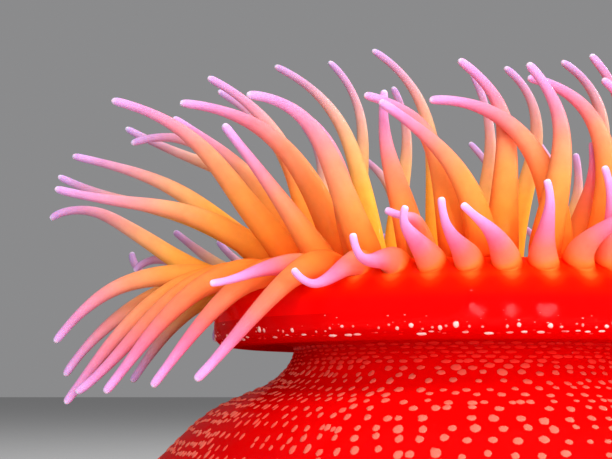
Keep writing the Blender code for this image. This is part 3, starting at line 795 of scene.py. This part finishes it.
# Painted glints: a bright tubercle is made larger and paler to stand for a highlight.
TUBERCLE_SIZE, GLINT_SIZE = 0.65, 0.8  # size over the row's, and how much more a bright one has
WAVER = 0.22                        # mm that a tubercle strays from its row
TUBERCLE_SPACINGS = (0.4, 1.6)      # range of the spacing, over the row's
TUBERCLE_ROWS = (                   # height, share that is there, half width, spacing, least paleness
    (33.3, 0.9, 0.62, 2.2, 0.10), (33.9, 0.7, 0.42, 1.9, 0.10), (35.2, 0.75, 0.34, 1.6, 0.45),
    (35.8, 0.5, 0.20, 1.5, 0.35), (36.9, 0.3, 0.17, 2.2, 0.35),
)

collar_places = []
for height, chance, half, step, least in TUBERCLE_ROWS:
    way = 0
    while way < 2 * math.pi * COLLAR_REACH:
        if rng.random() < chance:
            place = place_at(COLLAR_REACH, way / COLLAR_REACH, height + rng.normal(0, WAVER))
            # A few carry a painted glint, near white.
            painted_glint = rng.random() ** 3      # few are bright
            size = half * (TUBERCLE_SIZE + GLINT_SIZE * painted_glint) * MM
            tall = rng.uniform(*(FLAT_HEIGHTS if least < DULL else ROUND_HEIGHTS))
            rise = FLAT_RISE if least < DULL else ROUND_RISE
            collar_places.append((place, size, size * tall, size * rise, least + (1 - least) * painted_glint))
        way += step * rng.uniform(*TUBERCLE_SPACINGS)
collar_warts = lay_warts("collar_tubercles", collar_places)

# %% [markdown]
# A wart is the same wet flesh, without pigment at its top. The paleness that its corners carry mixes
# the column's scarlet with salmon, or on the tubercles with a paler rose that also serves as painted glints,
# by a smooth step, so that the pale patch has a soft edge and stops short of the wart's foot.

# %% Colour the warts
# The tubercles' paler rose is both their own pale top and the painted glint.
WART_PALE, TUBERCLE_PALE_AND_GLINT = "#F4705E", "#FFC4BC"


def wart_skin(name, pale_colour, low, high):
    """The column's scarlet, which turns pale towards the top of each wart."""
    material, tree, shader = flesh(name)
    pale = add(tree, "ShaderNodeAttribute", attribute_name="pale")
    share = add(tree, "ShaderNodeMapRange", {"Value": pale.outputs["Fac"]}, {
        "From Min": low, "From Max": high}, interpolation_type="SMOOTHSTEP")
    colour = add(tree, "ShaderNodeMix", {"Factor": share.outputs["Result"]}, data_type="RGBA")
    colour.inputs[6].default_value, colour.inputs[7].default_value = linear(SCARLET), linear(pale_colour)
    tree.links.new(colour.outputs[2], shader.inputs["Base Color"])
    return material


for piece, finish in (
        (column_warts, wart_skin("wart_skin", WART_PALE, low=0.25, high=0.95)),
        (collar_warts, wart_skin("tubercle_and_glint_skin", TUBERCLE_PALE_AND_GLINT, low=0.05, high=0.95))):
    piece.data.materials.append(finish)
    print(piece.name, "in", finish.name)

# %% [markdown]
# ## Studio
#
# The floor is a large sheet of matt grey paper that runs out of sight, and the air round it is a dim,
# even grey. The Standard view keeps the scarlet as saturated as its hex value says.

# %% Lay the floor and light the air
FLOOR_SIZE = 6                      # metres along a side
PAPER, PAPER_ROUGHNESS = "#C9C9C9", 0.8
AIR, AIR_STRENGTH = "#E8E8EA", 0.32

scene = bpy.context.scene
scene.view_settings.view_transform = "Standard"
bpy.ops.object.select_all(action="DESELECT")
bpy.ops.mesh.primitive_plane_add(size=FLOOR_SIZE)
floor = bpy.context.object
floor.name = "floor"
paper, _, shader = flesh("matt_paper")
shader.inputs["Base Color"].default_value = linear(PAPER)
shader.inputs["Roughness"].default_value = PAPER_ROUGHNESS
shader.inputs["Subsurface Weight"].default_value = shader.inputs["Coat Weight"].default_value = 0
floor.data.materials.append(paper)
floor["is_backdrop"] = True

world = bpy.data.worlds.new("studio")
scene.world = world
world.use_nodes = True
world.node_tree.nodes["Background"].inputs["Color"].default_value = linear(AIR)
world.node_tree.nodes["Background"].inputs["Strength"].default_value = AIR_STRENGTH
print("floor", PAPER, "and air", AIR)

# %% [markdown]
# One large softbox hangs above in front, and a low, wide fill lights the waist under the collar. Both
# are kept out of the reflections, as with a polarising sheet, so that they don't veil the scarlet. What
# the wet skin mirrors is a narrow strip at the right and three upright strips in front that stand for
# windows: small pale streaks that say it is round and wet.

# %% Hang the lights
SOFTBOXES = (                       # name, place, target, width and height in metres, watts, mirrored
    ("key_softbox", (0.10, -0.40, 0.42), (0, 0, 0.04), 0.40, 0.30, 2.4, False),
    ("fill_softbox", (-0.02, -0.46, 0.055), (0, 0, 0.04), 0.40, 0.09, 0.42, False),
    ("side_strip", (0.36, 0.06, 0.27), (0, 0, 0.07), 0.05, 0.40, 1.7, True),
)
WINDOWS = ((-0.036, 0.022), (0.058, 0.020), (0.159, 0.036))     # place across and width, in metres
WINDOW_AWAY, WINDOW_UP, WINDOW_TALL = 0.40, 0.076, 0.086        # metres
WINDOW_WATTS = 9                    # per metre of width


def softbox(name, place, target, width, height, watts, mirrored):
    """A rectangular area light that faces its target, and may be kept out of reflections."""
    light = bpy.data.lights.new(name, "AREA")
    light.shape = "RECTANGLE"
    light.size, light.size_y, light.energy = width, height, watts
    box = bpy.data.objects.new(name, light)
    scene.collection.objects.link(box)
    box.location = place
    box.rotation_euler = (Vector(target) - Vector(place)).to_track_quat("-Z", "Y").to_euler()
    box.visible_glossy = mirrored
    print(name, round(watts, 3), "W")


for measures in SOFTBOXES:
    softbox(*measures)
for across, wide in WINDOWS:
    softbox("window", (across, -WINDOW_AWAY, WINDOW_UP), (across / 4, 0, WINDOW_UP / 2), wide, WINDOW_TALL,
            WINDOW_WATTS * wide, True)

# %% [markdown]
# The camera lies close to the floor, left of the middle, and looks up a little at the crown, as a
# diver beside the rock would. It is so near that the sole and the right side fall outside its view.

# %% Place the camera
CAMERA_PLACE = (-0.031, -0.225, 0.026)
CAMERA_TILT = 97.6                  # degrees from looking straight down
LENS, SENSOR, NEAREST = 69.65, 36, 0.01     # focal length and sensor in mm, nearest view in metres

camera = bpy.data.objects.new("camera", bpy.data.cameras.new("camera"))
scene.collection.objects.link(camera)
scene.camera = camera
camera.location = CAMERA_PLACE
camera.rotation_euler = (math.radians(CAMERA_TILT), 0, 0)
camera.data.lens, camera.data.sensor_width, camera.data.clip_start = LENS, SENSOR, NEAREST
print("camera:", round(-CAMERA_PLACE[1] / MM), "mm away")

# %% [markdown]
# Last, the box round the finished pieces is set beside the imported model's. They have to agree, because
# the skin stands for the solids.

# %% Compare the sizes and finish
model_box = [[float(c) for c in corner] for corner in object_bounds()]
for name, box in (("CAD", cad_box), ("visual", model_box)):
    print(name, [[round(c / MM, 1) for c in corner] for corner in box])
